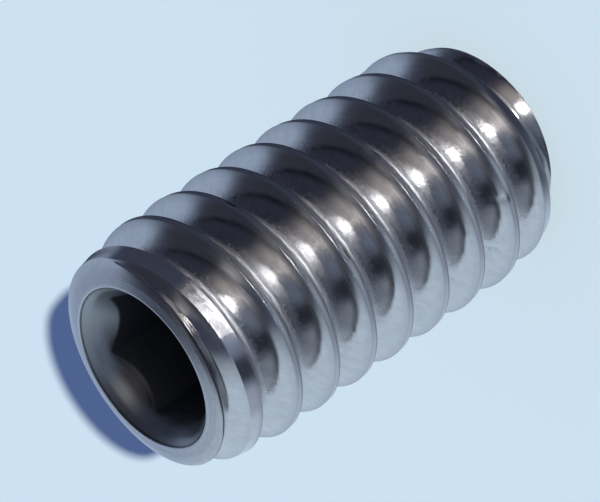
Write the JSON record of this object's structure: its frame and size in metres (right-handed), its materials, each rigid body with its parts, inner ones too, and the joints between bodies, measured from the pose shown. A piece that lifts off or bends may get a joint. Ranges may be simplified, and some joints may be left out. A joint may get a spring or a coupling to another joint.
{
  "type": "grub set screw",
  "caption": "Headless steel set screw with a full-length coarse thread, a countersunk hexagon socket in one end and a flat tapered point on the other.",
  "frame": {"origin": "centre of the flat point face, which the screw stands on", "axes": "+Z along the screw's axis, from the point face to the socket face; +X points to a corner of the hexagon"},
  "size_m": [0.0064, 0.0064, 0.0118],
  "materials": {
    "steel": "bright stainless steel, glossy on the thread's flanks, duller on the crests, with small nicks"
  },
  "bodies": {
    "root": {"set_screw": "steel"}
  },
  "joints": []
}
